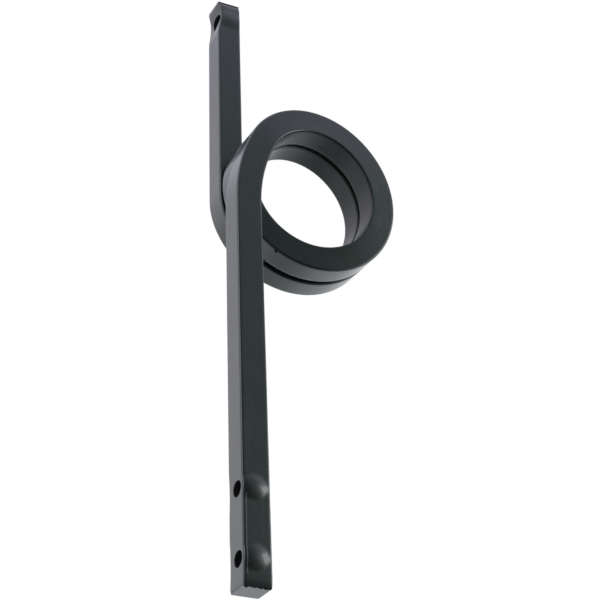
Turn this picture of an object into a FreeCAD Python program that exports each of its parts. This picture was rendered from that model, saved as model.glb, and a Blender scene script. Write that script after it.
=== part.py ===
import FreeCAD, Part
import math
import os

# Harrow tine wound from square spring bar: a front leg that runs down, a coil of
# two turns, and a back leg that runs up. All sizes are in millimetres and degrees.
# +Z runs up along both legs, -Y is the front, the coil lies on the +X side of the legs.
# The origin is the centre of the bolt hole in the back leg.

# Bar
bar = 25.0
bar_corner = 2.0
corner_flats = 3

# Coil
coil_radius = 71.5
pitch = 29.0
turns = 2
keystone = 0.6
runout_angle = 26.0

# Bend that sets the front leg outside the coil's circle
root_bend_radius = 180.0
root_bend_angle = 26.0

# Legs, from where each leaves the winding to its cut end
back_leg = 249.5
front_leg = 365.0

# Bolt holes, all along X and set towards the front of the bar
hole = 13.5
hole_offset = 3.0
back_hole_to_end = 22.8
front_hole_to_end = 23.5
front_hole_spacing = 58.5

# Swelling on the front face beside each hole
swell_radius = 11.0
swell_height = 1.3

# Hollow pressed into the back face beside each hole
front_hollow_length = 40.0
front_hollow_depth = 1.0
back_hollow_length = 42.0
back_hollow_depth = 2.4

# Outer face drawn in round the mouth of the hole in the back leg, deepest at the front edge
draw_depth = 2.6
draw_length = 40.0
draw_reach = 15.5

# Drag mark that lengthens that mouth downwards
drag_depth = 5.0
drag_back = 1.8
drag_down = 8.6
drag_radius = 2.6

# Raised shear lip along the front edge of the lower end
lip_height = 1.0
lip_width = 1.6

# Derived sizes
slope = pitch / (2.0 * math.pi * coil_radius)
lead = math.atan(slope)
axial = bar / math.cos(lead)
bend = math.radians(root_bend_angle)
wind_end = 2.0 * math.pi * turns
runout = math.radians(runout_angle)
front_x = -(coil_radius * math.cos(bend) + root_bend_radius * (1.0 - math.cos(bend)))
front_z = (coil_radius - root_bend_radius) * math.sin(bend)
bend_rise = slope * root_bend_radius * bend

V = FreeCAD.Vector
AXIS = V(0, 1, 0)


def radial(angle):
    """Unit vector from the coil's axis, the angle taken clockwise from the leg side."""
    return V(-math.cos(angle), 0, math.sin(angle))


def section(centre, angle, taper):
    """Closed outline of the bar, its corners eased in small flats, narrower outside by the taper."""
    out = radial(angle)
    half = bar / 2.0
    corners = [
        centre + out * half + AXIS * (-axial / 2.0 + taper),
        centre + out * half + AXIS * (axial / 2.0 - taper),
        centre - out * half + AXIS * (axial / 2.0 + taper),
        centre - out * half + AXIS * (-axial / 2.0 - taper),
    ]
    points = []
    for i, corner in enumerate(corners):
        before = (corners[i - 1] - corner).normalize()
        after = (corners[(i + 1) % 4] - corner).normalize()
        opening = before.getAngle(after)
        inward = (before + after).normalize()
        round_centre = corner + inward * (bar_corner / math.sin(opening / 2.0))
        spoke = (corner + before * (bar_corner / math.tan(opening / 2.0)) - round_centre).normalize()
        for k in range(corner_flats + 1):
            turned_by = (math.pi - opening) * k / corner_flats
            outward = spoke * math.cos(turned_by) - before * math.sin(turned_by)
            points.append(round_centre + outward * bar_corner)
    return Part.makePolygon(points + points[:1])


def winding(centre, radius, start, stop):
    """Helical centre line about an axis through the centre, between two angles."""
    helix = Part.makeHelix(2.0 * math.pi * radius * slope, radius * slope * (stop - start), radius)
    out = radial(start)
    side = AXIS.cross(out)
    turn = FreeCAD.Matrix(
        out.x, side.x, AXIS.x, centre.x,
        out.y, side.y, AXIS.y, centre.y,
        out.z, side.z, AXIS.z, centre.z,
        0, 0, 0, 1)
    helix.Placement = FreeCAD.Placement(turn)
    return helix


def wound_bar(centre, radius, start, stop, taper_start, taper_stop):
    """Length of bar wound at a radius, its section easing from one taper to the other."""
    shell = Part.BRepOffsetAPI.MakePipeShell(winding(centre, radius, start, stop))
    shell.setBiNormalMode(AXIS)
    first = centre + radial(start) * radius
    last = centre + radial(stop) * radius + AXIS * (radius * slope * (stop - start))
    shell.add(section(first, start, taper_start), False, False)
    if taper_stop != taper_start:
        shell.add(section(last, stop, taper_stop), False, False)
    shell.build()
    shell.makeSolid()
    return shell.shape()


def leg(root, direction, length):
    """Straight length of bar from the root section, square to the coil's axis there."""
    return Part.Face(section(root, 0.0, 0.0)).extrude(direction * length)


# The bar, wound from the front leg to the back leg in the coil's own frame
front_root = V(front_x, 0, front_z)
bend_centre = V(front_x + root_bend_radius, 0, front_z)
coil_start = V(0, bend_rise, 0)
main_stop = wind_end - runout
main_rise = bend_rise + slope * coil_radius * (main_stop - bend)
full_rise = bend_rise + slope * coil_radius * (wind_end - bend)
back_root = V(-coil_radius, full_rise, 0)
along = V(0, slope, 1).normalize()
spare = bar

pieces = [
    leg(front_root, along * -1, front_leg + spare),
    wound_bar(bend_centre, root_bend_radius, 0.0, bend, 0.0, keystone),
    wound_bar(coil_start, coil_radius, bend, main_stop, keystone, keystone),
    wound_bar(V(0, main_rise, 0), coil_radius, main_stop, wind_end, keystone, 0.0),
    leg(back_root, along, back_leg + spare),
]
tine = pieces[0].multiFuse(pieces[1:])

# Turn the legs upright and bring the hole of the back leg to the origin
tine.rotate(V(0, 0, 0), V(1, 0, 0), math.degrees(lead))
turned = FreeCAD.Rotation(V(1, 0, 0), math.degrees(lead))
back_root = turned.multVec(back_root)
front_root = turned.multVec(front_root)
back_hole = back_root + V(0, -hole_offset, back_leg - back_hole_to_end)
tine.translate(back_hole * -1)
back_root = back_root - back_hole
front_root = front_root - back_hole
top = back_root.z + back_leg
bottom = front_root.z - front_leg
front_holes = [
    V(front_root.x, front_root.y - hole_offset, bottom + front_hole_to_end),
    V(front_root.x, front_root.y - hole_offset, bottom + front_hole_to_end + front_hole_spacing),
]

# Shear both legs off square
reach = 4.0 * bar
tine = tine.cut(Part.makeBox(reach, reach, 2.0 * spare, V(-reach / 2.0, -reach / 2.0, top)))
end_box = Part.makeBox(reach, reach, 2.0 * spare)
end_box.translate(V(front_root.x - reach / 2.0, front_root.y - reach / 2.0, bottom - 2.0 * spare))
tine = tine.cut(end_box)
tine = tine.removeSplitter()


def swelling(at):
    """Low dome on the front face of a leg, where the metal spread beside a hole."""
    ball_radius = (swell_radius ** 2 + swell_height ** 2) / (2.0 * swell_height)
    face_y = at.y + hole_offset - bar / 2.0
    ball = Part.makeSphere(ball_radius, V(at.x, face_y - swell_height + ball_radius, at.z))
    slab = Part.makeBox(bar, swell_height + bar / 8.0, 3.0 * bar,
                        V(at.x - bar / 2.0, face_y - swell_height, at.z - 1.5 * bar))
    return ball.common(slab)


def hollow(at, face_y, length, depth):
    """Cutter for the shallow hollow across the back face, its axis along X."""
    radius = (length ** 2 / 4.0 + depth ** 2) / (2.0 * depth)
    return Part.makeCylinder(radius, 3.0 * bar, V(at.x - 1.5 * bar, face_y + radius - depth, at.z), V(1, 0, 0))


def drawn_face(at):
    """Cutter that draws the outer face in towards the front edge, round a hole's mouth."""
    radius = (draw_length ** 2 / 4.0 + draw_depth ** 2) / (2.0 * draw_depth)
    lean = math.atan2(draw_depth, draw_reach)
    across = V(-math.sin(lean), math.cos(lean), 0)
    outwards = V(-math.cos(lean), -math.sin(lean), 0)
    deepest = V(at.x - bar / 2.0 + draw_depth, at.y + hole_offset - bar / 2.0, at.z)
    return Part.makeCylinder(radius, 4.0 * bar, deepest + outwards * radius - across * (2.0 * bar), across)


back_hole = V(0, 0, 0)
for at in [back_hole] + front_holes:
    tine = tine.fuse(swelling(at))
tine = tine.cut(drawn_face(back_hole))

# The hollows beside the holes
back_face = back_root.y + bar / 2.0
front_leg_back_face = front_root.y + bar / 2.0
tine = tine.cut(hollow(back_hole, back_face, back_hollow_length, back_hollow_depth))
for at in front_holes:
    tine = tine.cut(hollow(at, front_leg_back_face, front_hollow_length, front_hollow_depth))

# The bolt holes right through the bar
for at in [back_hole] + front_holes:
    tine = tine.cut(Part.makeCylinder(hole / 2.0, 2.0 * bar, V(at.x - bar, at.y, at.z), V(1, 0, 0)))

# The dragged mouth of the hole in the back leg, on the outer face
mouth_x = -bar / 2.0
reach_out = V(bar, 0, 0)
distance = math.hypot(drag_back, drag_down)
spread = math.acos((hole / 2.0 - drag_radius) / distance)
heading = math.atan2(-drag_down, drag_back)
rim = []
for sign in (1.0, -1.0):
    turn_to = heading + sign * spread
    rim.append(V(0, math.cos(turn_to), math.sin(turn_to)))
start = V(mouth_x + drag_depth, 0, 0) - reach_out
drag_end = start + V(0, drag_back, -drag_down)
outline = Part.makePolygon([
    start + rim[0] * (hole / 2.0),
    drag_end + rim[0] * drag_radius,
    drag_end + rim[1] * drag_radius,
    start + rim[1] * (hole / 2.0),
    start + rim[0] * (hole / 2.0),
])
tine = tine.cut(Part.Face(outline).extrude(reach_out))
tine = tine.cut(Part.makeCylinder(drag_radius, reach_out.x, drag_end, V(1, 0, 0)))

# The lip that the shear raised along the front edge of the lower end
lip_y = front_root.y - bar / 2.0
lip = Part.makePolygon([
    V(front_root.x - bar / 2.0 + bar_corner, lip_y, bottom),
    V(front_root.x - bar / 2.0 + bar_corner, lip_y + lip_width, bottom),
    V(front_root.x - bar / 2.0 + bar_corner, lip_y + lip_width / 4.0, bottom - lip_height),
    V(front_root.x - bar / 2.0 + bar_corner, lip_y, bottom),
])
tine = tine.fuse(Part.Face(lip).extrude(V(bar - 2.0 * bar_corner, 0, 0)))

solid = tine.Solids[0]

os.makedirs("parts", exist_ok=True)
solid.exportStep("parts/harrow_tine.step")
print("solids", len(tine.Solids), "valid", solid.isValid(), "volume", round(solid.Volume / 1000.0, 1))
print("box", solid.BoundBox)
print("front holes", front_holes)
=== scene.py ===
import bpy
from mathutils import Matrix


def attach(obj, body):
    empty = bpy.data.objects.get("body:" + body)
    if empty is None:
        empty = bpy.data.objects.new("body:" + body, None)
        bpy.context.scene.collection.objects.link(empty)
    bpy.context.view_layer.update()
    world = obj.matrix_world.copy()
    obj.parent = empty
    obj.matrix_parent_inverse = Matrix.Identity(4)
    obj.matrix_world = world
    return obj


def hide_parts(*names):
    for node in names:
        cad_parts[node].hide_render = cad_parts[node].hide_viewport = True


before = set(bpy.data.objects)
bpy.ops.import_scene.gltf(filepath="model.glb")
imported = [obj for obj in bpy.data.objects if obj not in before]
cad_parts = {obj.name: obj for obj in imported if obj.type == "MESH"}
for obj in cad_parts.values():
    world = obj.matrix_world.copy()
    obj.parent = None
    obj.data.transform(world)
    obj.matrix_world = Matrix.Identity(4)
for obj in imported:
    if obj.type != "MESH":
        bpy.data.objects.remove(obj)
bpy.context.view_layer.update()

import logging
import math
from collections.abc import Iterator
from contextlib import contextmanager
from dataclasses import dataclass, field
from enum import Enum

import bmesh
import bpy
import numpy as np
from bpy.types import Material, Mesh, Node, NodeSocket, NodeTree, Object
from mathutils import Matrix, Vector, noise
from mathutils.kdtree import KDTree

MM = 0.001
NODE = "harrow_tine"
BODY = "root"
BUMP_STRENGTH = 0.6

log = logging.getLogger("harrow_tine")


class Part(Enum):
    """Material places on the bar, in the order of its material slots."""

    SKIN = 0
    BORE = 1
    # The cut ends, in a pale grey paint that is painted light
    SHEARED = 2
    # The coil's inner side, in a darker, less glossy paint that is painted shade
    INSIDE = 3


class Feed(Enum):
    """What a material reads for the place of a point."""

    OBJECT = "object"
    BAR = "bar_place"


@dataclass(frozen=True)
class TineLine:
    """Centre line of the bar, from its lower end up to its upper end.

    A station is a distance along the line as seen along the coil's axis, measured from
    the root of the front leg: it is negative on the front leg.
    """

    side: float = 25.0 * MM
    corner: float = 1.7 * MM
    coil_radius: float = 71.5 * MM
    pitch: float = 29.0 * MM
    turns: float = 2.0
    keystone: float = 0.6 * MM
    runout: float = math.radians(26.0)
    bend_radius: float = 180.0 * MM
    bend: float = math.radians(26.0)
    back_leg: float = 249.5 * MM
    front_leg: float = 365.0 * MM
    hole_offset: float = 3.0 * MM
    back_hole_to_end: float = 22.8 * MM
    front_hole_to_end: float = 23.5 * MM
    front_hole_spacing: float = 58.5 * MM
    fine_low: float = 102.0 * MM
    fine_high: float = 58.0 * MM

    @property
    def half(self) -> float:
        """Half the bar's side."""
        return self.side / 2.0

    @property
    def slope(self) -> float:
        """Rise along the coil's axis for each unit of station."""
        return self.pitch / (2.0 * math.pi * self.coil_radius)

    @property
    def lead(self) -> float:
        """Angle that turns the legs upright, in radians."""
        return math.atan(self.slope)

    @property
    def bend_end(self) -> float:
        """Station where the root bend passes into the coil."""
        return self.bend_radius * self.bend

    @property
    def coil_end(self) -> float:
        """Station where the coil passes into the back leg."""
        return self.wound(self.turns)

    @property
    def first(self) -> float:
        """Station of the lower end."""
        return -self.front_leg * math.cos(self.lead)

    @property
    def last(self) -> float:
        """Station of the upper end."""
        return self.coil_end + self.back_leg * math.cos(self.lead)

    @property
    def upright(self) -> np.ndarray:
        """Rotation about X that turns the coil's own frame into the part's."""
        c, s = math.cos(self.lead), math.sin(self.lead)
        return np.array([[1.0, 0.0, 0.0], [0.0, c, -s], [0.0, s, c]])

    @property
    def shift(self) -> np.ndarray:
        """Offset from the turned coil frame to the part's frame, at the upper hole."""
        root = self.upright @ np.array([-self.coil_radius, self.slope * self.coil_end, 0.0])
        rise = self.back_leg - self.back_hole_to_end
        return -(root + np.array([0.0, -self.hole_offset, rise]))

    def frames(self, stations: np.ndarray) -> tuple[np.ndarray, ...]:
        """Centre, tangent, outward and backward directions at each station.

        Args:
            stations: Stations in metres.

        Returns:
            Four arrays of vectors in the part's frame.
        """
        s = np.asarray(stations, float)
        coil, bend = self.coil_radius, self.bend_radius
        bend_cos, bend_sin = math.cos(self.bend), math.sin(self.bend)
        beta = np.clip(s, 0.0, self.bend_end) / bend
        psi = self.bend + np.clip(s - self.bend_end, 0.0, self.coil_end - self.bend_end) / coil
        angle = beta + psi - self.bend
        front_x = -(coil * bend_cos + bend * (1.0 - bend_cos))
        front_z = (coil - bend) * bend_sin
        x = front_x + bend * (1.0 - np.cos(beta)) + coil * (bend_cos - np.cos(psi))
        z = front_z + np.minimum(s, 0.0) + bend * np.sin(beta)
        z = z + coil * (np.sin(psi) - bend_sin) + np.maximum(s - self.coil_end, 0.0)
        centre = np.stack([x, self.slope * s, z], -1)
        tangent = np.stack([np.sin(angle), np.full_like(s, self.slope), np.cos(angle)], -1)
        tangent /= math.hypot(1.0, self.slope)
        outward = np.stack([-np.cos(angle), np.zeros_like(s), np.sin(angle)], -1)
        backward = np.cross(outward, tangent)
        turn = self.upright.T
        return centre @ turn + self.shift, tangent @ turn, outward @ turn, backward @ turn

    def place(self, station: float, out: float, back: float) -> Vector:
        """Point beside the centre line.

        Args:
            station: Station in metres.
            out: Distance away from the coil's axis.
            back: Distance towards the back.

        Returns:
            The point in the part's frame.
        """
        centre, _, outward, backward = self.frames(np.array([station]))
        return Vector(centre[0] + outward[0] * out + backward[0] * back)

    def wound(self, turns: float) -> float:
        """Station on the coil after a number of turns from the front leg's side."""
        return self.bend_end + self.coil_radius * (2.0 * math.pi * turns - self.bend)

    @property
    def foot(self) -> np.ndarray:
        """Centre of the lower end."""
        return self.frames(np.array([self.first]))[0][0]

    @property
    def holes(self) -> list[Vector]:
        """Centres of the three bolt holes: the upper one, then the two lower ones."""
        low = Vector(self.foot + np.array([0.0, -self.hole_offset, self.front_hole_to_end]))
        return [Vector((0.0, 0.0, 0.0)), low, low + Vector((0.0, 0.0, self.front_hole_spacing))]

    def taper(self, stations: np.ndarray) -> np.ndarray:
        """How far each side leans in on its outside, eased in at both ends of the coil."""
        rise = np.clip(stations / self.bend_end, 0.0, 1.0)
        fall = np.clip((self.coil_end - stations) / (self.runout * self.coil_radius), 0.0, 1.0)
        return self.keystone * np.minimum(rise, fall)

    def rings(self, spacing: float, fine: float) -> np.ndarray:
        """Stations of the bar's rings, closer together beside the bolt holes.

        Args:
            spacing: Usual distance between rings.
            fine: Distance between rings beside the holes.

        Returns:
            The stations, from the lower end up.
        """
        marks = ((self.first, fine), (self.first + self.fine_low, spacing),
                 (self.last - self.fine_high, fine), (self.last, 0.0))
        runs = []
        for (start, step), (stop, _) in zip(marks, marks[1:]):
            runs.append(np.linspace(start, stop, int(round((stop - start) / step)), endpoint=False))
        return np.concatenate([*runs, [self.last]])


def linked(name: str, data: bpy.types.ID) -> Object:
    """Object at the origin that holds a mesh, lamp or camera, linked to the scene."""
    obj = bpy.data.objects.new(name, data)
    bpy.context.scene.collection.objects.link(obj)
    return obj


@contextmanager
def editing(mesh: Mesh) -> Iterator[bmesh.types.BMesh]:
    """Opens a mesh for editing and writes it back."""
    work = bmesh.new()
    work.from_mesh(mesh)
    yield work
    work.to_mesh(mesh)
    work.free()


def baked(obj: Object) -> Mesh:
    """Mesh that an object's modifiers give, as a plain mesh."""
    graph = bpy.context.evaluated_depsgraph_get()
    return bpy.data.meshes.new_from_object(obj.evaluated_get(graph), depsgraph=graph)


def points_of(mesh: Mesh) -> np.ndarray:
    """Vertex positions of a mesh."""
    out = np.zeros(len(mesh.vertices) * 3)
    mesh.vertices.foreach_get("co", out)
    return out.reshape(-1, 3)


def stacked_rings(name: str, rings: list) -> Mesh:
    """Closed mesh through rings of points of equal count, with a face over each end."""
    count = len(rings[0])
    faces = []
    for low in range(0, (len(rings) - 1) * count, count):
        for i in range(count):
            k = (i + 1) % count
            faces.append([low + i, low + k, low + count + k, low + count + i])
    faces.append(list(range(count)))
    faces.append([(len(rings) - 1) * count + i for i in range(count)])
    mesh = bpy.data.meshes.new(name)
    mesh.from_pydata([tuple(p) for ring in rings for p in ring], [], faces)
    with editing(mesh) as work:
        bmesh.ops.recalc_face_normals(work, faces=work.faces)
    return mesh


def painted(name: str, rings: list, paint: Material) -> Object:
    """Smooth piece through rings of points, in one material."""
    obj = linked(name, stacked_rings(name, rings))
    obj.data.materials.append(paint)
    obj.data.shade_smooth()
    return obj


@dataclass(frozen=True)
class Pebble:
    """Ball of radius 1 with lumps: its subdivisions, and their height and pace."""

    detail: int
    lump: float
    pace: float

    def add(self, work: bmesh.types.BMesh, seed: float) -> list:
        """Adds the ball.

        Args:
            work: Mesh under work.
            seed: Choice of the lumps.

        Returns:
            The ball's vertices.
        """
        made = bmesh.ops.create_icosphere(work, subdivisions=self.detail, radius=1.0)["verts"]
        for vert in made:
            spot = vert.co * self.pace + Vector((seed, 0.0, 0.0))
            vert.co *= 1.0 + self.lump * noise.noise(spot)
        return made


def set_down(at: Vector, turn: float, size: tuple) -> Matrix:
    """Matrix that stretches, turns about Y and moves to a place."""
    return Matrix.Translation(at) @ Matrix.Rotation(turn, 4, "Y") @ Matrix.Diagonal((*size, 1.0))


@dataclass(frozen=True)
class Grain:
    """Size and make of a noise texture, its scale for each metre."""

    scale: float
    detail: float
    rough: float = 0.5


class NodeBuilder:
    """Adds nodes to one tree, each input linked to a socket or given its own value."""

    def __init__(self, tree: NodeTree) -> None:
        """Keeps the tree that the nodes go in."""
        self.tree = tree

    def put(self, socket: NodeSocket, value: object) -> None:
        """Links a socket to another, or sets its own value."""
        if isinstance(value, NodeSocket):
            self.tree.links.new(value, socket)
        else:
            socket.default_value = value

    def node(self, kind: str, inputs: dict | None = None, **settings: object) -> Node:
        """Adds a node, its plain properties first and then its inputs.

        Args:
            kind: Type of the node.
            inputs: Socket or value of each input, by its name or place.
            settings: Plain properties of the node.

        Returns:
            The node.
        """
        node = self.tree.nodes.new(kind)
        for key, value in settings.items():
            setattr(node, key, value)
        for label, value in (inputs or {}).items():
            self.put(node.inputs[label], value)
        return node

    def math(self, operation: str, *values: object, clamp: bool = False) -> NodeSocket:
        """Result of one Math node."""
        inputs = dict(enumerate(values))
        return self.node("ShaderNodeMath", inputs, operation=operation, use_clamp=clamp).outputs[0]

    def vector(self, operation: str, *values: object) -> NodeSocket:
        """Result of one Vector Math node."""
        inputs = dict(enumerate(values))
        return self.node("ShaderNodeVectorMath", inputs, operation=operation).outputs["Vector"]

    def split(self, vector: NodeSocket) -> tuple:
        """The three components of a vector."""
        return tuple(self.node("ShaderNodeSeparateXYZ", {0: vector}).outputs)

    def ramp(self, value: NodeSocket, edges: tuple[float, float]) -> NodeSocket:
        """Smooth rise from 0 to 1 between two values."""
        inputs = {"Value": value, "From Min": edges[0], "From Max": edges[1]}
        return self.node("ShaderNodeMapRange", inputs, interpolation_type="SMOOTHSTEP").outputs[0]

    def blend(self, factor: object, first: object, second: object) -> NodeSocket:
        """Mix of two colours, each a tuple or a socket."""
        a, b = ((*v, 1.0) if isinstance(v, tuple) else v for v in (first, second))
        inputs = {"Factor": factor, "A": a, "B": b}
        return self.node("ShaderNodeMix", inputs, data_type="RGBA").outputs["Result"]

    def stops(self, factor: NodeSocket, stops: tuple) -> NodeSocket:
        """Colour ramp through stops of position and colour, in order of position."""
        node = self.node("ShaderNodeValToRGB", {"Fac": factor})
        marks = node.color_ramp.elements
        marks.remove(marks[1])
        for i, (place, colour) in enumerate(stops):
            mark = marks.new(place) if i else marks[0]
            mark.position = place
            mark.color = (*colour, 1.0)
        return node.outputs["Color"]

    def noise(self, place: NodeSocket, grain: Grain) -> NodeSocket:
        """Value of a noise texture at a place."""
        inputs = {"Vector": place, "Scale": grain.scale, "Detail": grain.detail,
                  "Roughness": grain.rough}
        return self.node("ShaderNodeTexNoise", inputs).outputs[0]

    def bump(self, height: NodeSocket, distance: float, **below: NodeSocket) -> NodeSocket:
        """Normal that a height gives, on top of the one in below if there is one."""
        inputs = {"Strength": BUMP_STRENGTH, "Distance": distance, "Height": height, **below}
        return self.node("ShaderNodeBump", inputs).outputs[0]


class SweepTree:
    """Geometry node tree that draws a rounded square section along a line of stations."""

    INPUTS = {"Side": "NodeSocketFloat", "Corner Radius": "NodeSocketFloat",
              "Steps Per Side": "NodeSocketInt", "Corner Share": "NodeSocketFloat",
              "Material": "NodeSocketMaterial"}
    STEPS_PER_SIDE = 16
    CORNER_SHARE = 0.25

    def __init__(self) -> None:
        """Builds the tree once."""
        self.tree = bpy.data.node_groups.new("square_bar_sweep", "GeometryNodeTree")
        self.make = NodeBuilder(self.tree)
        new = self.tree.interface.new_socket
        new(name="Geometry", in_out="INPUT", socket_type="NodeSocketGeometry")
        self.sockets = {label: new(name=label, in_out="INPUT", socket_type=kind)
                        for label, kind in self.INPUTS.items()}
        new(name="Geometry", in_out="OUTPUT", socket_type="NodeSocketGeometry")
        self._wire()

    def _profile(self, given: Node) -> NodeSocket:
        """Closed section: four sides, flat in the middle, an eighth of a circle at each end."""
        node, calc = self.make.node, self.make.math
        steps, share = given.outputs["Steps Per Side"], given.outputs["Corner Share"]
        radius = given.outputs["Corner Radius"]
        line = node("GeometryNodeMeshLine", {"Count": calc("MULTIPLY", steps, 4.0)})
        index = node("GeometryNodeInputIndex").outputs[0]
        side = calc("FLOOR", calc("DIVIDE", index, steps))
        step = calc("SUBTRACT", index, calc("MULTIPLY", side, steps))
        across = calc("SUBTRACT", calc("MULTIPLY", calc("DIVIDE", step, steps), 2.0), 1.0)
        flat_share = calc("SUBTRACT", 1.0, share)
        reach = calc("MAXIMUM", calc("SUBTRACT", calc("ABSOLUTE", across), flat_share), 0.0)
        turn = calc("MULTIPLY", calc("DIVIDE", reach, share), math.pi / 4.0)
        flat = calc("SUBTRACT", calc("MULTIPLY", given.outputs["Side"], 0.5), radius)
        along = calc("MAXIMUM", calc("MINIMUM", calc("DIVIDE", across, flat_share), 1.0), -1.0)
        lift = calc("MULTIPLY", calc("SINE", turn), calc("SIGN", across))
        x = calc("ADD", flat, calc("MULTIPLY", radius, calc("COSINE", turn)))
        y = calc("ADD", calc("MULTIPLY", flat, along), calc("MULTIPLY", radius, lift))
        point = node("ShaderNodeCombineXYZ", {0: x, 1: y}).outputs[0]
        quarter = calc("MULTIPLY", side, math.pi / 2.0)
        spun = node("ShaderNodeVectorRotate", {"Vector": point, "Angle": quarter},
                    rotation_type="Z_AXIS").outputs[0]
        placed = node("GeometryNodeSetPosition", {"Geometry": line.outputs[0], "Position": spun})
        curve = node("GeometryNodeMeshToCurve", {"Mesh": placed.outputs[0]}).outputs[0]
        return node("GeometryNodeSetSplineCyclic", {"Geometry": curve, "Cyclic": True}).outputs[0]

    def _wire(self) -> None:
        """Curve with its normals from the outward attribute, swept, realized and painted."""
        node = self.make.node
        given = node("NodeGroupInput")
        curve = node("GeometryNodeMeshToCurve", {"Mesh": given.outputs["Geometry"]}).outputs[0]
        outward = node("GeometryNodeInputNamedAttribute", {"Name": "outward"},
                       data_type="FLOAT_VECTOR").outputs[0]
        normal = node("GeometryNodeSetCurveNormal", {"Curve": curve, "Normal": outward},
                      mode="FREE").outputs[0]
        swept = node("GeometryNodeCurveToMesh", {
            "Curve": normal, "Profile Curve": self._profile(given), "Fill Caps": True}).outputs[0]
        real = node("GeometryNodeRealizeInstances", {"Geometry": swept}).outputs[0]
        done = node("GeometryNodeSetMaterial", {
            "Geometry": real, "Material": given.outputs["Material"]}).outputs[0]
        node("NodeGroupOutput", {"Geometry": done})

    def sweep(self, name: str, line: TineLine, stations: np.ndarray, paint: Material) -> Mesh:
        """Draws the bar's section along its line.

        Args:
            name: Name of the mesh.
            line: The tine's line and sizes.
            stations: Stations of the rings.
            paint: Material of the whole sweep.

        Returns:
            The swept bar as a plain mesh.
        """
        centre, _, outward, _ = line.frames(stations)
        path = bpy.data.meshes.new(name + "_line")
        steps = [(i, i + 1) for i in range(len(centre) - 1)]
        path.from_pydata([tuple(p) for p in centre], steps, [])
        normals = path.attributes.new("outward", "FLOAT_VECTOR", "POINT")
        normals.data.foreach_set("vector", outward.ravel())
        obj = linked(name + "_line", path)
        modifier = obj.modifiers.new("sweep", "NODES")
        modifier.node_group = self.tree
        values = {"Side": line.side, "Corner Radius": line.corner, "Material": paint,
                  "Steps Per Side": self.STEPS_PER_SIDE, "Corner Share": self.CORNER_SHARE}
        for key, value in values.items():
            modifier[self.sockets[key].identifier] = value
        mesh = baked(obj)
        mesh.name = name
        bpy.data.objects.remove(obj)
        return mesh


class ShaderGroups:
    """Node groups that the finishes share: rolled streaks and paint skin."""

    STREAK_STRETCH = (0.03, 1.0, 1.0)
    STREAKS = Grain(420.0, 3.0, 0.6)
    STREAK_RANGE = (0.32, 0.68)
    PATCHES = Grain(34.0, 3.0)
    FINE = Grain(620.0, 2.0)
    PITS = Grain(190.0, 3.0, 0.65)

    def __init__(self) -> None:
        """Builds each group once."""
        self.streaks = self._streaks()
        self.skin = self._skin()

    @staticmethod
    def _new(name: str, *outputs: str) -> tuple[NodeBuilder, NodeSocket, Node]:
        """Shader group that reads a place and puts out numbers.

        Args:
            name: Name of the group.
            outputs: Names of its outputs.

        Returns:
            Its builder, the place that it is given and its output node.
        """
        tree = bpy.data.node_groups.new(name, "ShaderNodeTree")
        new = tree.interface.new_socket
        new(name="Place", in_out="INPUT", socket_type="NodeSocketVector")
        for label in outputs:
            new(name=label, in_out="OUTPUT", socket_type="NodeSocketFloat")
        make = NodeBuilder(tree)
        return make, make.node("NodeGroupInput").outputs["Place"], make.node("NodeGroupOutput")

    def _streaks(self) -> NodeTree:
        """Long faint marks that run with the bar: a mask from 0 to 1 and a height."""
        make, place, out = self._new("rolled_streaks", "Mask", "Height")
        long = make.node("ShaderNodeMapping", {"Scale": self.STREAK_STRETCH, "Vector": place})
        value = make.noise(long.outputs[0], self.STREAKS)
        low, high = self.STREAK_RANGE
        limits = {"Value": value, "From Min": low, "From Max": high}
        spread = make.node("ShaderNodeMapRange", limits)
        make.put(out.inputs["Mask"], spread.outputs[0])
        make.put(out.inputs["Height"], value)
        return make.tree

    def _skin(self) -> NodeTree:
        """Sprayed paint over hot worked steel: patches of tone and a fine uneven height."""
        make, place, out = self._new("paint_skin", "Patches", "Height")
        make.put(out.inputs["Patches"], make.noise(place, self.PATCHES))
        rough = make.math("ADD", make.noise(place, self.FINE), make.noise(place, self.PITS))
        make.put(out.inputs["Height"], rough)
        return make.tree


@dataclass(frozen=True)
class PaintFinish:
    """Satin black paint on one kind of surface."""

    name: str
    dark: tuple = (0.0045, 0.0055, 0.0053)
    pale: tuple = (0.0095, 0.0108, 0.0110)
    rough: tuple = (0.20, 0.32)
    ior: float = 1.65
    coat: float = 0.5
    coat_rough: float = 0.09
    streak_share: float = 0.35
    bump: float = 0.00008
    streak_bump: float = 0.00008
    feed: Feed = Feed.BAR

    def material(self, groups: ShaderGroups) -> Material:
        """Builds the material.

        Args:
            groups: The shared shader groups.

        Returns:
            The material.
        """
        made = bpy.data.materials.new(self.name)
        made.use_nodes = True
        make = NodeBuilder(made.node_tree)
        if self.feed is Feed.BAR:
            source = make.node("ShaderNodeAttribute", attribute_name=Feed.BAR.value)
            place = source.outputs["Vector"]
        else:
            place = make.node("ShaderNodeTexCoord").outputs["Object"]
        streaks, skin = (make.node("ShaderNodeGroup", {"Place": place}, node_tree=group).outputs
                         for group in (groups.streaks, groups.skin))
        tone = make.math("MULTIPLY_ADD", streaks["Mask"], self.streak_share, skin["Patches"])
        low, high = self.rough
        rough = make.node("ShaderNodeMapRange", {"Value": tone, "To Min": low, "To Max": high})
        grain = make.bump(skin["Height"], self.bump)
        shader = made.node_tree.nodes["Principled BSDF"]
        for label, value in {
                "IOR": self.ior, "Coat Weight": self.coat, "Coat Roughness": self.coat_rough,
                "Base Color": make.blend(tone, self.dark, self.pale),
                "Roughness": rough.outputs[0],
                "Normal": make.bump(streaks["Height"], self.streak_bump, Normal=grain)}.items():
            make.put(shader.inputs[label], value)
        return made


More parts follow.
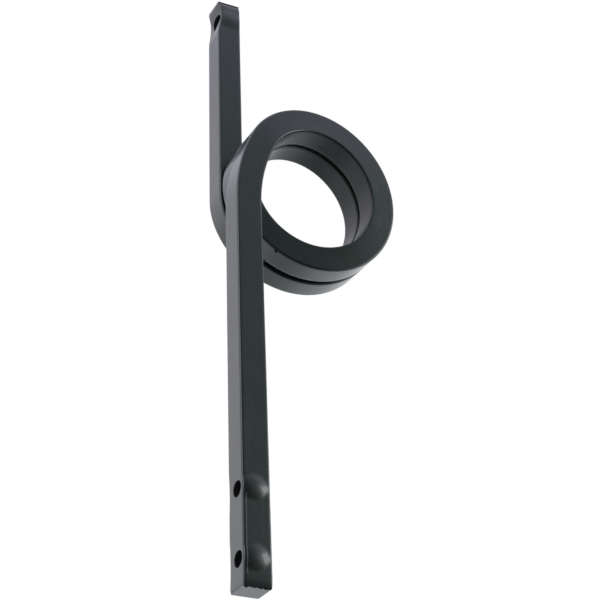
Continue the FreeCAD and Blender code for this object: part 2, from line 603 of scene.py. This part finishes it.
FINISHES = {
    Part.SKIN: PaintFinish("bar_paint"),
    Part.BORE: PaintFinish(
        "bore_paint", dark=(0.003, 0.003, 0.003), pale=(0.008, 0.008, 0.009),
        rough=(0.5, 0.7), ior=1.4, coat=0.0),
    # Painted light: the sheared ends get a pale grey copy of the paint, much lighter than the bar,
    # for the light that they catch
    Part.SHEARED: PaintFinish(
        "sheared_end_light_paint", dark=(0.120, 0.116, 0.122), pale=(0.225, 0.220, 0.232),
        rough=(0.34, 0.5), coat=0.2, bump=0.00035, feed=Feed.OBJECT),
    # Painted shade: the coil's inner side gets a darker copy of the bar paint, with weaker gloss,
    # for the shade in the coil's hollow
    Part.INSIDE: PaintFinish(
        "coil_inside_shade_paint", dark=(0.0030, 0.0036, 0.0036), pale=(0.0065, 0.0072, 0.0075),
        rough=(0.26, 0.38), ior=1.45, coat=0.15),
}
# Painted shade: the burrs get a darker, dull copy of the paint so that their lips read black as
# shade
BURR_SHADE_FINISH = PaintFinish(
    "burr_shade_paint", dark=(0.003, 0.0035, 0.0035), pale=(0.008, 0.0085, 0.0085),
    rough=(0.5, 0.7), ior=1.35, coat=0.0, feed=Feed.OBJECT)
BEAD_FINISH = PaintFinish(
    "bead_paint", dark=(0.003, 0.0035, 0.0035), pale=(0.008, 0.009, 0.009),
    rough=(0.12, 0.2), ior=1.5, coat=0.3, coat_rough=0.05, feed=Feed.OBJECT)


def facing(share: np.ndarray, start: float = 0.1, span: float = 0.8) -> np.ndarray:
    """How far points lie on one face: 1 on it, smoothly down to 0 near the bar's middle.

    Args:
        share: Distance from the middle towards the face, as a share of half the bar's side.
        start: Share where the rise from 0 starts.
        span: How much further it reaches 1.

    Returns:
        Values from 0 to 1.
    """
    t = np.clip((share - start) / span, 0.0, 1.0)
    return t * t * (3.0 - 2.0 * t)


def dome(away: np.ndarray, power: float) -> np.ndarray:
    """Height from 1 in the middle to 0 at a distance of 1, fuller the smaller the power."""
    return np.clip(1.0 - away ** 2, 0.0, 1.0) ** power


@dataclass(frozen=True)
class Swelling:
    """Dome on the front face beside a hole, its middle set off from the hole."""

    reach: float
    reach_up: float
    reach_down: float
    height: float
    power: float
    shift: float = 0.0
    drop: float = 0.0

    def share(self, aside: np.ndarray, above: np.ndarray) -> np.ndarray:
        """Share of the full height, at distances to the right of the hole and above it."""
        above = above + self.drop
        tall = np.where(above > 0.0, self.reach_up, self.reach_down)
        return dome(np.hypot((aside - self.shift) / self.reach, above / tall), self.power)


@dataclass(frozen=True)
class DrawnFace:
    """Outer face drawn in round the upper hole, deepest at the front edge."""

    length: float = 42.0 * MM
    front_depth: float = 3.4 * MM
    back_depth: float = 1.2 * MM
    front_rise: float = 6.0 * MM
    above: float = 0.86
    below: float = 1.35
    power: float = 1.9

    def depth(self, forward: np.ndarray, above: np.ndarray, face: np.ndarray) -> np.ndarray:
        """Depth at points.

        Args:
            forward: Share of the way from the back edge to the front edge.
            above: Distance above the hole.
            face: How far the points lie on the outer face.

        Returns:
            Depths in metres.
        """
        away = above - self.front_rise * forward
        depth = self.back_depth + (self.front_depth - self.back_depth) * forward
        share = 2.0 * away / (self.length * np.where(away > 0.0, self.above, self.below))
        return face * depth * dome(share, self.power)


@dataclass
class WoundBar:
    """The whole tine in one piece: swept, worked by hand and punch, and bored."""

    line: TineLine
    hole_radius: float = 6.75 * MM
    rim: float = 0.6 * MM
    ring_gap: float = 2.8 * MM
    fine_gap: float = 1.4 * MM
    end_bevel: float = 0.45 * MM
    end_draw: tuple = (4.5 * MM, 0.4 * MM)
    low_swelling: Swelling = Swelling(13.0 * MM, 12.5 * MM, 11.0 * MM, 1.6 * MM, 1.25,
                                      shift=-2.6 * MM, drop=1.0 * MM)
    top_swelling: Swelling = Swelling(20.8 * MM, 13.2 * MM, 13.2 * MM, 0.75 * MM, 1.5)
    low_hollow: tuple = (40.0 * MM, 1.0 * MM)
    top_hollow: tuple = (42.0 * MM, 2.4 * MM)
    hollow_power: float = 1.2
    drawn_face: DrawnFace = DrawnFace()
    low_rollover: tuple = (11.0 * MM, 0.6 * MM)
    top_rollover: tuple = (9.5 * MM, 1.4 * MM)
    rollover_power: float = 1.8
    top_sag: float = 1.8 * MM
    drag: tuple = (1.8 * MM, 8.6 * MM)
    drag_radius: float = 2.6 * MM
    drag_start: float = 1.8 * MM
    drag_shift: float = 0.8 * MM
    drag_depth: float = 7.0 * MM
    waves: tuple = ((55.0 * MM, 0.11 * MM), (17.0 * MM, 0.05 * MM), (6.0 * MM, 0.018 * MM))
    wave_stretch: float = 2.2
    inside_band: float = 0.4 * MM
    slack: float = 0.05 * MM
    fine: np.ndarray = field(init=False)
    tree: KDTree = field(init=False)

    FINE_STATIONS = 6000
    RIM_STEPS = (78, 60, 42, 24, 8, 0)
    BORE_SIDES = 56
    BORE_FLARE = 2.2
    # Depth from the outer face or from the mouth's floor, and growth there, both in mm
    FACE_FLARE = ((-3.0, 1.0), (0.1, 0.75), (1.2, 0.45), (2.6, 0.1))
    FLOOR_FLARE = ((-0.6, 0.0), (0.0, -0.6))
    TIP_STEPS = 16
    MOUTH_STEPS = 32
    NICK = Pebble(2, 0.25, 1.7)
    CAP_CORNERS = 8
    CAP_TILT = 0.95
    SHARP_ANGLE = math.radians(38.0)
    FACE_WEIGHT = 80

    def __post_init__(self) -> None:
        """Lays out the fine stations that points are matched to."""
        self.fine = np.linspace(self.line.first, self.line.last, self.FINE_STATIONS)
        self.tree = KDTree(len(self.fine))
        for i, point in enumerate(self.line.frames(self.fine)[0]):
            self.tree.insert(point, i)
        self.tree.balance()

    def locate(self, points: np.ndarray) -> tuple[np.ndarray, np.ndarray, np.ndarray]:
        """Station, outward and backward distance of points near the bar.

        Args:
            points: Points in the part's frame.

        Returns:
            Three arrays.
        """
        line = self.line
        stations = self.fine[np.array([self.tree.find(Vector(p))[1] for p in points])]
        for _ in range(2):
            centre, tangent, outward, backward = line.frames(stations)
            stations = stations + ((points - centre) * tangent).sum(1) * math.cos(line.lead)
            stations = np.clip(stations, line.first - line.side, line.last + line.side)
        centre, tangent, outward, backward = line.frames(stations)
        away = points - centre
        return stations, (away * outward).sum(1), (away * backward).sum(1)

    def worked(self, points: np.ndarray) -> np.ndarray:
        """Moves points of the plain bar as winding, punching and shearing moved the steel.

        Args:
            points: Points on the swept bar.

        Returns:
            The moved points.
        """
        line, half = self.line, self.line.half
        s, out, back = self.locate(points)
        _, _, outward, backward = line.frames(s)
        front, rear, outer = facing(-back / half), facing(back / half), facing(out / half)
        x, z = points[:, 0], points[:, 2]
        upper, *lower = line.holes
        top_leg = s > line.coil_end
        move_out = np.zeros(len(points))
        move_back = -back * (out / half) * line.taper(s) / half

        punched = [(hole, s < 0.0, self.low_swelling, self.low_hollow) for hole in lower]
        punched.append((upper, top_leg, self.top_swelling, self.top_hollow))
        for hole, leg, swelling, (length, depth) in punched:
            rise = front * swelling.share(x - hole.x, z - hole.z) * swelling.height
            sink = rear * (depth * dome(2.0 * (z - hole.z) / length, self.hollow_power))
            move_back -= np.where(leg, rise, 0.0)
            move_back -= np.where(leg, sink, 0.0)
        forward = np.clip(0.5 - back / line.side, 0.0, 1.0)
        drawn_in = self.drawn_face.depth(forward, z - upper.z, outer)
        move_out -= np.where(top_leg, drawn_in, 0.0)

        length, depth = self.top_rollover
        near_top = (z - (line.back_hole_to_end - length)) / length
        near_top = np.clip(near_top, 0.0, 1.0) ** self.rollover_power
        move_back += np.where(top_leg, front * near_top * depth, 0.0)
        sag = self.top_sag * near_top * (0.5 - 0.5 * back / half) * (0.5 + 0.5 * out / half)
        sag = np.where(top_leg, sag, 0.0)
        length, depth = self.low_rollover
        near_end = np.clip(1.0 - (s - line.first) / length, 0.0, 1.0) ** self.rollover_power
        move_back += front * near_end * depth
        length, depth = self.end_draw
        from_end = np.minimum(s - line.first, line.last - s)
        drawn = depth * np.clip(1.0 - from_end / length, 0.0, 1.0) ** 2
        move_out -= drawn * out / half
        move_back -= drawn * back / half

        for wave, height in self.waves:
            for i, (along, o, b) in enumerate(zip(s / (self.wave_stretch * wave), out, back)):
                swing = noise.noise(Vector((along, o / wave, b / wave)))
                if abs(o) > abs(b):
                    move_out[i] += swing * height * math.copysign(1.0, o)
                else:
                    move_back[i] += swing * height * math.copysign(1.0, b)
        moved = points + outward * move_out[:, None] + backward * move_back[:, None]
        moved[:, 2] -= sag
        return moved

    def _ease_ends(self, mesh: Mesh) -> None:
        """Breaks the sharp edges round both sheared ends."""
        with editing(mesh) as work:
            caps = [f for f in work.faces if len(f.verts) > self.CAP_CORNERS]
            edges = list({e for f in caps for e in f.edges})
            bmesh.ops.bevel(work, geom=edges, offset=self.end_bevel, segments=2, profile=0.6,
                            affect="EDGES")

    def _bore(self, name: str, centre: Vector) -> Object:
        """Cutter for a bolt hole through the bar along X, its mouths rounded."""
        rim, edge = self.rim, self.line.half - self.rim
        ends = [(edge + rim * math.sin(a), self.hole_radius + rim * (1 - math.cos(a)))
                for a in map(math.radians, self.RIM_STEPS)]
        last_x, last_r = ends[0]
        ends.insert(0, (last_x + rim, last_r + self.BORE_FLARE * rim))
        profile = [(-x, r) for x, r in ends] + [(x, r) for x, r in reversed(ends)]
        turns = [2.0 * math.pi * i / self.BORE_SIDES for i in range(self.BORE_SIDES)]
        rings = [[(centre.x + x, centre.y + r * math.cos(t), centre.z + r * math.sin(t))
                  for t in turns] for x, r in profile]
        return linked(name, stacked_rings(name, rings))

    def _dragged_mouth(self) -> Object:
        """Cutter for the drag mark that runs down and back from the upper hole's outer mouth."""
        back, down = self.drag
        distance, heading = math.hypot(back, down), math.atan2(-down, back)
        radius = self.hole_radius - self.slack
        spread = math.acos((radius - self.drag_radius) / distance)
        rest = 2.0 * math.pi - 2.0 * spread
        tip = [heading - spread + 2.0 * spread * i / self.TIP_STEPS
               for i in range(self.TIP_STEPS + 1)]
        mouth = [heading + spread + rest * i / self.MOUTH_STEPS
                 for i in range(self.MOUTH_STEPS + 1)]
        face = self.drag_start - self.line.half
        floor = self.drag_depth - self.line.half
        depths = [(face + at * MM, grow * MM) for at, grow in self.FACE_FLARE]
        depths += [(floor + at * MM, grow * MM) for at, grow in self.FLOOR_FLARE]
        rings = []
        for x, grow in depths:
            small, large = self.drag_radius + grow, radius + grow
            ring = [(x, back + small * math.cos(t), -down + small * math.sin(t)) for t in tip]
            ring += [(x, large * math.cos(t) - self.drag_shift, large * math.sin(t))
                     for t in mouth]
            rings.append(ring)
        return linked("drag_cutter", stacked_rings("drag_cutter", rings))

    def _nick(self, name: str, at: Vector, size: tuple, lean: float) -> Object:
        """Cutter for a small dent."""
        mesh = bpy.data.meshes.new(name)
        with editing(mesh) as work:
            self.NICK.add(work, lean)
        mesh.transform(set_down(at, lean, size))
        return linked(name, mesh)

    def cutters(self) -> list[Object]:
        """Every tool that takes steel away after the bar is wound."""
        line, half = self.line, self.line.half
        found = [self._bore(f"bore_cutter_{i}", hole) for i, hole in enumerate(line.holes)]
        found.append(self._dragged_mouth())
        # Station, outward and backward place, half sizes in mm, and lean
        nicks = ((line.wound(0.270), -half, 3.0 * MM, (1.4, 2.4, 0.7), 0.5),
                 (line.wound(0.410), -half, -half, (1.0, 0.9, 2.2), -0.5),
                 (line.wound(0.425), -half, -half, (0.8, 0.8, 1.2), 0.2),
                 (-58.7 * MM, half, -half, (0.9, 0.8, 1.6), 0.1),
                 (-111.7 * MM, half, -half, (0.8, 0.7, 1.4), 0.3),
                 (-203.4 * MM, half, -half, (0.9, 0.7, 1.0), 0.2),
                 (-212.5 * MM, half, -half, (1.0, 0.7, 1.3), 0.6))
        for i, (*place, size, lean) in enumerate(nicks):
            size = tuple(v * MM for v in size)
            found.append(self._nick(f"nick_{i}", line.place(*place), size, lean))
        return found

    def build(self, sweep: SweepTree, paints: dict) -> Object:
        """Makes the bar.

        Args:
            sweep: The geometry node tree that draws the section along the line.
            paints: Material of each part of the bar.

        Returns:
            The bar's object.
        """
        stations = self.line.rings(self.ring_gap, self.fine_gap)
        mesh = sweep.sweep("tine_bar", self.line, stations, paints[Part.SKIN])
        moved = self.worked(points_of(mesh))
        mesh.vertices.foreach_set("co", moved.ravel())
        self._ease_ends(mesh)
        rough = linked("tine_blank", mesh)
        tools = self.cutters()
        for tool in tools:
            cut = rough.modifiers.new(tool.name, "BOOLEAN")
            cut.operation = "DIFFERENCE"
            cut.solver = "EXACT"
            cut.object = tool
        done = baked(rough)
        done.name = "tine_bar"
        for extra in [rough, *tools]:
            bpy.data.objects.remove(extra)
        bar = linked("tine_bar", done)
        self._assign(done, paints)
        self._store_place(done)
        self._smooth(bar)
        return bar

    def _assign(self, mesh: Mesh, paints: dict) -> None:
        """Gives the coil's inner side a darker paint that is painted shade, the bores their own
        material, and the sheared ends a pale paint that is painted light.
        """
        mesh.materials.clear()
        for part in Part:
            mesh.materials.append(paints[part])
        line = self.line
        s, out, _ = self.locate(np.array([face.center for face in mesh.polygons]))
        # Inner faces of the coil take the painted shade material
        wound = (s > 0.0) & (s < line.coil_end) & (out < self.inside_band - line.half)
        top = line.back_hole_to_end - self.end_bevel
        bottom = line.holes[1].z - line.front_hole_to_end + self.end_bevel
        bore_radius, bore_reach = self.hole_radius + self.slack, line.half - 0.5 * self.rim
        for face, inside in zip(mesh.polygons, wound):
            centre = face.center
            part = Part.INSIDE if inside else Part.SKIN
            for hole in line.holes:
                away = math.hypot(centre.y - hole.y, centre.z - hole.z)
                if away < bore_radius and abs(centre.x - hole.x) < bore_reach:
                    part = Part.BORE
            # Cut end faces take the painted light material
            if abs(face.normal.z) > self.CAP_TILT and not bottom < centre.z < top:
                part = Part.SHEARED
            face.material_index = part.value

    def _store_place(self, mesh: Mesh) -> None:
        """Stores where each point lies on the bar: along it, outward and backward."""
        place = np.stack(self.locate(points_of(mesh)), -1).astype(np.float32)
        stored = mesh.attributes.new(Feed.BAR.value, "FLOAT_VECTOR", "POINT")
        stored.data.foreach_set("vector", place.ravel())

    def _smooth(self, bar: Object) -> None:
        """Shades the bar smooth, with flat faces kept flat beside their rounded corners."""
        bar.data.shade_smooth()
        bar.data.set_sharp_from_angle(angle=self.SHARP_ANGLE)
        weigh = bar.modifiers.new("weigh", "WEIGHTED_NORMAL")
        weigh.keep_sharp = True
        weigh.weight = self.FACE_WEIGHT
        done = baked(bar)
        bar.modifiers.clear()
        done.name = bar.data.name
        bar.data = done


@dataclass(frozen=True)
class Ragged:
    """Uneven run along a lip: a coarse wave and a fine one, both fading at its ends."""

    seed: float
    coarse: float
    fine: float
    fine_seed: float
    fades: tuple = (12.0, 12.0)

    def at(self, t: float) -> tuple[float, float, float]:
        """Coarse wave, fine wave and fade at a share of the lip's length."""
        coarse = noise.noise(Vector((t * self.coarse, self.seed, 0.0)))
        fine = noise.noise(Vector((t * self.fine, self.seed, self.fine_seed)))
        first, last = (math.sin(math.pi * min(share * rate, 0.5))
                       for share, rate in zip((t, 1.0 - t), self.fades))
        return coarse, fine, first * last


@dataclass
class TopBurr:
    """Thin lip that hangs from the front edge of the upper end, dark in a paint that is painted
    shade.
    """

    line: TineLine
    ragged: Ragged = Ragged(seed=8.2, coarse=7.0, fine=17.0, fine_seed=3.0)
    steps: int = 60
    corner: float = 0.6 * MM
    height: float = 1.7 * MM
    least: float = 0.15 * MM
    drawn_back: float = 1.0 * MM
    uneven: float = 0.10 * MM
    sag: float = 1.7 * MM
    coarse_share: float = 0.5
    fine_share: float = 0.3

    # Each corner of the section: mm backward, mm down and share of the height
    SECTION = ((-0.2, 0.0, 1.0), (-0.35, 0.0, 0.5), (0.0, 0.15, 0.0), (1.0, 0.1, 0.0),
               (1.4, 0.0, 0.6))

    def build(self, paint: Material) -> Object:
        """Makes the lip in a paint."""
        front = self.line.hole_offset - self.line.half + self.drawn_back
        half = self.line.half - self.corner
        rings = []
        for i in range(self.steps + 1):
            t = i / self.steps
            coarse, fine, fade = self.ragged.at(t)
            x, y = half * (2.0 * t - 1.0), front + self.uneven * fine
            ragged = 1.0 + self.coarse_share * coarse + self.fine_share * fine
            tall = self.height * ragged * fade + self.least
            edge = self.line.back_hole_to_end - self.sag * (1.0 - t)
            rings.append([(x, y + back * MM, edge - down * MM - share * tall)
                          for back, down, share in self.SECTION])
        return painted("top_burr", rings, paint)


@dataclass
class RolledSeam:
    """Thin raised seam that rolling left along the front face, near its outer edge."""

    line: TineLine
    start: float = 8.0 * MM
    stop: float = 75.0 * MM
    out: float = 9.6 * MM
    width: float = 0.8 * MM
    height: float = 0.28 * MM
    foot: float = 0.4 * MM
    fade: float = 8.0
    pace: float = 11.0
    seed: float = 1.3
    steps: int = 90

    def build(self, bar: WoundBar, paint: Material) -> Object:
        """Makes the seam.

        Args:
            bar: The bar whose front face it follows.
            paint: Its material.

        Returns:
            The seam's object.
        """
        line = self.line
        stations = line.first + np.linspace(self.start, self.stop, self.steps + 1)
        sides = np.array([0.5, 0.2, -0.2, -0.5]) * self.width
        spots = [line.place(s, self.out + side, -line.half) for s in stations for side in sides]
        rows = bar.worked(np.array(spots)).reshape(len(stations), len(sides), 3)
        sink = np.array([0.0, self.foot, 0.0])
        rings = []
        for i, (a, b, c, d) in enumerate(rows):
            t = i / self.steps
            uneven = 1.0 + 0.5 * noise.noise(Vector((t * self.pace, self.seed, 0.0)))
            fade = min(1.0, self.fade * t, self.fade * (1.0 - t)) * uneven
            lift = np.array([0.0, -self.height * fade, 0.0])
            rings.append([a + sink, a + 0.1 * lift, b + lift, c + lift, d + 0.1 * lift, d + sink])
        return painted("rolled_seam", rings, paint)


@dataclass
class ShearBurr:
    """Ragged lip that the shear left along the front edge of the lower end."""

    line: TineLine
    ragged: Ragged = Ragged(seed=3.7, coarse=9.0, fine=31.0, fine_seed=2.0, fades=(16.0, 12.0))
    steps: int = 60
    inset: float = 0.65 * MM
    end_gap: float = 0.2 * MM
    height: float = 1.5 * MM
    least: float = 0.1 * MM
    width: float = 1.5 * MM
    lean: float = 0.3 * MM
    blob_at: float = 0.06
    blob_reach: float = 0.07
    drop_shares: tuple = (0.6, 0.55, 0.3, 0.5)
    fine_width: float = 0.4
    blob_width: float = 0.7

    # Each corner of the section: mm and share of the width backward, share of the lean,
    # mm up and share of the drop
    SECTION = ((-0.05, 0.0, 0.0, 1.0, 0.0), (0.0, 1.0, 0.0, 0.3, 0.0), (0.0, 0.9, 0.0, 0.0, 0.3),
               (0.0, 0.6, 1.0, 0.0, 1.0), (0.0, 0.2, 1.0, 0.0, 0.92), (-0.15, 0.0, 0.0, 0.0, 0.2))

    def build(self, paint: Material) -> Object:
        """Makes the lip in a paint."""
        foot, half = Vector(self.line.foot), self.line.half - self.inset
        rings = []
        for i in range(self.steps + 1):
            t = i / self.steps
            coarse, fine, fade = self.ragged.at(t)
            blob = math.exp(-((t - self.blob_at) / self.blob_reach) ** 2)
            steady, *uneven = self.drop_shares
            full = steady + sum(a * b for a, b in zip(uneven, (coarse, fine, blob)))
            drop = max(self.height * min(1.0, full) * fade, self.least)
            lean = self.lean * (coarse - fine)
            width = self.width * (1.0 + self.fine_width * fine + self.blob_width * blob)
            x = foot.x - half + self.end_gap + t * (2.0 * half - 2.0 * self.end_gap)
            y = foot.y - half
            rings.append([(x, y + back * MM + wide * width + leans * lean,
                           foot.z + up * MM - share * drop)
                          for back, wide, leans, up, share in self.SECTION])
        return painted("shear_burr", rings, paint)


@dataclass
class PaintBeads:
    """Drops and crumbs that set in the paint."""

    line: TineLine

    BEAD = Pebble(3, 0.22, 1.9)
    SEED_STEP = 5.0

    def _spots(self) -> list[tuple]:
        """Centre, turn and half sizes of each bead."""
        line, half = self.line, self.line.half
        edge = line.place(line.wound(0.834), half - 0.4 * MM, half - 0.6 * MM)
        return [(line.place(line.wound(0.828), half, -9.0 * MM), 0.4, (2.3, 1.8, 1.7)),
                (edge, 1.1, (1.6, 1.3, 1.3))]

    def build(self, paint: Material) -> Object:
        """Makes the beads as one piece, in a paint."""
        mesh = bpy.data.meshes.new("paint_beads")
        with editing(mesh) as work:
            for at, turn, size in self._spots():
                place = set_down(at, turn, tuple(v * MM for v in size))
                for vert in self.BEAD.add(work, turn * self.SEED_STEP):
                    vert.co = place @ vert.co
        mesh.materials.append(paint)
        mesh.shade_smooth()
        return linked("paint_beads", mesh)


@dataclass(frozen=True)
class Lamp:
    """Soft lamp in front of the tine, its heading from the front and its climb in degrees."""

    name: str
    heading: float
    climb: float
    reach: float
    size: tuple
    power: float

    def light(self, target: Vector) -> None:
        """Puts the lamp in the scene, turned to a target."""
        heading, lift = math.radians(self.heading), math.radians(self.climb)
        away = Vector((math.sin(heading) * math.cos(lift), -math.cos(heading) * math.cos(lift),
                       math.sin(lift)))
        data = bpy.data.lights.new(self.name, "AREA")
        data.shape = "RECTANGLE"
        data.size, data.size_y = self.size
        data.energy = self.power
        lamp = linked(self.name, data)
        lamp.location = target + away * self.reach
        lamp.rotation_mode = "QUATERNION"
        lamp.rotation_quaternion = (-away).to_track_quat("-Z", "Y")


@dataclass
class Studio:
    """Camera, plain soft light and a pale floor well below the hanging tine."""

    line: TineLine
    heading: float = 28.67
    climb: float = 29.399
    roll: float = -0.564
    distance: float = 1274.82 * MM
    focal_px: float = 1341.929
    coil_px: tuple = (322.079, 186.469)
    frame_px: float = 600.0
    sensor: float = 36.0
    clip: tuple = (0.05, 60.0)
    target: tuple = (0.0, -0.05, -0.45)
    floor_z: float = -1.35
    floor_reach: float = 14.0
    floor_rough: float = 0.9
    low_front: tuple = (0.05, 0.42)
    low_gain: float = 0.4
    side_gain: float = 1.35
    ahead: tuple = (-0.62, -0.45)
    overhead: tuple = (0.49, 0.95)

    LAMPS = (Lamp("lamp_right", 52.0, 15.0, 2.2, (0.7, 0.9), 6.0),
             Lamp("lamp_left", -58.0, 34.0, 2.6, (0.9, 1.2), 6.0))
    # Colours that gloss sees, from the dim front to the open sides
    FRONT = ((0.0, (0.010, 0.015, 0.014)), (0.20, (0.17, 0.26, 0.23)),
             (0.28, (0.29, 0.41, 0.36)), (0.38, (0.23, 0.34, 0.30)), (0.46, (0.26, 0.37, 0.35)),
             (0.6, (0.58, 0.63, 0.74)), (1.0, (0.96, 0.97, 1.0)))
    # Their tint, from straight down to straight up
    RISE = ((0.10, (0.28, 0.31, 0.32)), (0.19, (0.47, 0.53, 0.54)), (0.28, (0.86, 0.93, 0.95)),
            (0.48, (0.80, 0.82, 0.83)), (0.66, (0.98, 0.985, 1.0)), (0.76, (0.90, 0.90, 0.935)),
            (0.84, (0.78, 0.78, 0.85)), (1.0, (0.84, 0.84, 0.92)))
    MATT = (0.68, 0.69, 0.70)
    WHITE = (1.0, 1.0, 1.0)
    FLOOR = (0.86, 0.86, 0.85, 1.0)

    def camera(self) -> None:
        """Puts the camera where the photograph was taken from: left of the tine and below it."""
        th, ph, ro = (math.radians(a) for a in (self.heading, self.climb, self.roll))
        look = np.array([math.sin(th) * math.cos(ph), math.cos(th) * math.cos(ph), math.sin(ph)])
        level = np.array([math.cos(th), -math.sin(th), 0.0])
        rise = np.cross(level, look)
        right = math.cos(ro) * level + math.sin(ro) * rise
        up = -math.sin(ro) * level + math.cos(ro) * rise
        middle = self.frame_px / 2.0
        eye = -self.distance * look
        eye = eye - (self.coil_px[0] - middle) / self.focal_px * self.distance * right
        eye = eye + (self.coil_px[1] - middle) / self.focal_px * self.distance * up
        turn = self.line.upright
        data = bpy.data.cameras.new("camera")
        data.sensor_width = self.sensor
        data.lens = self.focal_px / self.frame_px * self.sensor
        data.clip_start, data.clip_end = self.clip
        camera = linked("camera", data)
        axes = np.stack([turn @ right, turn @ up, -(turn @ look)], 1)
        matrix = Matrix(axes.tolist()).to_4x4()
        matrix.translation = Vector(turn @ eye + self.line.shift)
        camera.matrix_world = matrix
        bpy.context.scene.camera = camera

    def world(self) -> None:
        """White to the eye, even grey to matt surfaces, and to gloss a room dim at its front."""
        world = bpy.data.worlds.new("studio")
        bpy.context.scene.world = world
        world.use_nodes = True
        tree = world.node_tree
        tree.nodes.clear()
        sky = NodeBuilder(tree)
        calc, ramp = sky.math, sky.ramp
        toward = sky.node("ShaderNodeTexCoord").outputs["Generated"]
        height = sky.split(toward)[2]
        level = sky.vector("NORMALIZE", sky.vector("MULTIPLY", toward, (1.0, 1.0, 0.0)))
        aside, ahead, _ = sky.split(level)
        rising = ramp(height, self.low_front)
        gain = calc("MULTIPLY_ADD", rising, 1.0 - self.low_gain, self.low_gain)
        gain = calc("MULTIPLY", gain, self.side_gain)
        wide = calc("MULTIPLY", calc("MULTIPLY", aside, aside), gain, clamp=True)
        open_side = calc("MAXIMUM", wide, ramp(ahead, self.ahead))
        overhead = calc("SUBTRACT", 1.0, ramp(height, self.overhead))
        closed = calc("MULTIPLY", calc("SUBTRACT", 1.0, open_side), overhead)
        front = sky.stops(calc("SUBTRACT", 1.0, closed, clamp=True), self.FRONT)
        rise = sky.stops(calc("MULTIPLY_ADD", height, 0.5, 0.5), self.RISE)
        gloss = sky.vector("MULTIPLY", front, rise)
        paths = sky.node("ShaderNodeLightPath").outputs
        soft = sky.blend(paths["Is Diffuse Ray"], gloss, self.MATT)
        seen = sky.blend(paths["Is Camera Ray"], soft, self.WHITE)
        light = sky.node("ShaderNodeBackground", {"Color": seen})
        sky.node("ShaderNodeOutputWorld", {"Surface": light.outputs[0]})

    def floor(self) -> None:
        """Plain pale floor that the eye sees through from below, and gloss from anywhere."""
        reach, z = self.floor_reach, self.floor_z
        corners = [(-reach, -reach, z), (reach, -reach, z), (reach, reach, z), (-reach, reach, z)]
        mesh = bpy.data.meshes.new("floor")
        mesh.from_pydata(corners, [], [[0, 1, 2, 3]])
        floor = linked("floor", mesh)
        paint = bpy.data.materials.new("pale_floor")
        paint.use_nodes = True
        make, nodes = NodeBuilder(paint.node_tree), paint.node_tree.nodes
        shader = nodes["Principled BSDF"]
        shader.inputs["Base Color"].default_value = self.FLOOR
        shader.inputs["Roughness"].default_value = self.floor_rough
        clear = make.node("ShaderNodeBsdfTransparent")
        side = make.node("ShaderNodeNewGeometry").outputs["Backfacing"]
        gloss = make.node("ShaderNodeLightPath").outputs["Is Glossy Ray"]
        unseen = make.math("MAXIMUM", side, gloss)
        mix = make.node("ShaderNodeMixShader",
                        {"Fac": unseen, 1: shader.outputs[0], 2: clear.outputs[0]})
        make.put(nodes["Material Output"].inputs["Surface"], mix.outputs[0])
        mesh.materials.append(paint)

    def build(self) -> None:
        """Sets up everything round the tine."""
        self.camera()
        self.world()
        for lamp in self.LAMPS:
            lamp.light(Vector(self.target))
        self.floor()
        bpy.context.scene.view_settings.view_transform = "Standard"


def main() -> None:
    """Builds the tine's visible pieces and sets up the studio."""
    logging.basicConfig(level=logging.INFO, format="%(name)s %(message)s")
    line = TineLine()
    groups = ShaderGroups()
    paints = {part: finish.material(groups) for part, finish in FINISHES.items()}
    wound_bar = WoundBar(line)
    bar = wound_bar.build(SweepTree(), paints)
    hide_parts(NODE)
    # Darker, dull paint for both burrs: painted shade
    burr_shade_paint = BURR_SHADE_FINISH.material(groups)
    pieces = [bar, ShearBurr(line).build(burr_shade_paint), TopBurr(line).build(burr_shade_paint),
              RolledSeam(line).build(wound_bar, paints[Part.SKIN]),
              PaintBeads(line).build(BEAD_FINISH.material(groups))]
    for piece in pieces:
        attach(piece, BODY)
        log.info("%s: %d faces", piece.name, len(piece.data.polygons))
    Studio(line).build()


if __name__ == "__main__":
    main()
